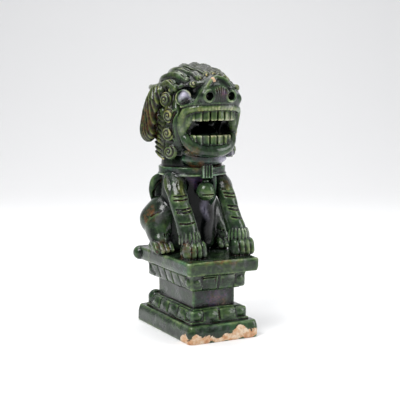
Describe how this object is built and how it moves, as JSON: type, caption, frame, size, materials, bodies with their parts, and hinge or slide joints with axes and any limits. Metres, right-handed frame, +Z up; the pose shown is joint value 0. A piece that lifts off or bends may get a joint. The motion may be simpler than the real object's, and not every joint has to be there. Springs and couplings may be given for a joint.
{
  "type": "guardian dog statue",
  "caption": "Seated glazed stoneware guardian dog with open jaws, drooping ears, collar and bell, on a stepped hollow pedestal; a free-standing ornament.",
  "frame": {"origin": "middle of the underside of the foot slab, on the table", "axes": "+Z up; the dog faces -Y; +X is the dog's left"},
  "size_m": [0.116, 0.138, 0.2996],
  "materials": {
    "green_glaze": "gloss",
    "clay_and_glaze": "gloss",
    "pedestal_glaze": "gloss",
    "dark_glaze": "gloss",
    "olive_glaze": "gloss",
    "pale_glaze": "gloss",
    "eye_glaze": "gloss",
    "teal_glaze": "gloss"
  },
  "bodies": {
    "root": {"foot_slab": "clay_and_glaze", "lower_petal_course": "pedestal_glaze", "waist_block": "pedestal_glaze", "upper_petal_course": "pedestal_glaze", "seat_slab": "pedestal_glaze", "torso": "dark_glaze", "haunch_right": "green_glaze", "haunch_left": "green_glaze", "hind_leg_right": "green_glaze", "hind_leg_left": "green_glaze", "hind_paw_right": "green_glaze", "hind_paw_left": "green_glaze", "foreleg_right": "green_glaze", "foreleg_left": "green_glaze", "forepaw_right": "green_glaze", "forepaw_left": "green_glaze", "shoulder_tuft_right": "olive_glaze", "shoulder_tuft_left": "olive_glaze", "tail": "dark_glaze", "back_mane": "dark_glaze", "collar": "teal_glaze", "collar_buckle": "teal_glaze", "bell": "green_glaze", "ribbon": "teal_glaze", "head": "green_glaze", "muzzle": "green_glaze", "upper_lip": "pale_glaze", "lower_jaw": "green_glaze", "upper_teeth": "pale_glaze", "lower_teeth": "pale_glaze", "tongue": "pale_glaze", "eye_right": "eye_glaze", "eye_left": "eye_glaze", "brow_right": "olive_glaze", "brow_left": "olive_glaze", "ear_right": "olive_glaze", "ear_left": "olive_glaze", "crown_locks": "olive_glaze", "mane_curls_right": "olive_glaze", "mane_curls_left": "olive_glaze", "nape_curls": "olive_glaze", "beard": "teal_glaze"}
  },
  "joints": []
}
